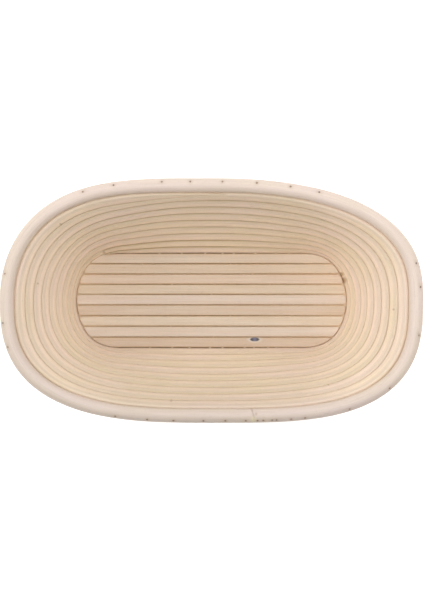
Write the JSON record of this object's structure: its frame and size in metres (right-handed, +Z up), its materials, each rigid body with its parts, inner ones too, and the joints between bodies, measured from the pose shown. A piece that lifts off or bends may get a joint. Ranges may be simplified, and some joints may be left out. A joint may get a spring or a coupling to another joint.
{
  "type": "banneton basket",
  "caption": "Oval open basket of coiled rattan cane with a slatted floor and a thick rim, for proofing bread dough.",
  "frame": {"origin": "centre of the oval at the underside, on the surface that the basket stands on", "axes": "+X along the length, +Y across the width, +Z up out of the open mouth"},
  "size_m": [0.25, 0.1446, 0.0755],
  "materials": {
    "wall_cane": "peeled rattan core, matt, fine grain along the cane",
    "rim_cane": "peeled rattan core, sanded smooth, pale",
    "floor_cane": "flattened rattan strips, matt, fine grain along the strip",
    "pin_wood": "split cane pins, pale and matt",
    "nail_steel": "dark, slightly rusty small nails"
  },
  "bodies": {
    "root": {"wall_cane": "wall_cane", "rim_cane": "rim_cane", "floor_slat_1": "floor_cane", "floor_slat_2": "floor_cane", "floor_slat_3": "floor_cane", "floor_slat_4": "floor_cane", "floor_slat_5": "floor_cane", "floor_slat_6": "floor_cane", "floor_slat_7": "floor_cane", "floor_slat_8": "floor_cane", "floor_slat_9": "floor_cane", "floor_pins": "pin_wood", "rim_nails": "nail_steel", "turn_nails": "nail_steel"}
  },
  "joints": []
}
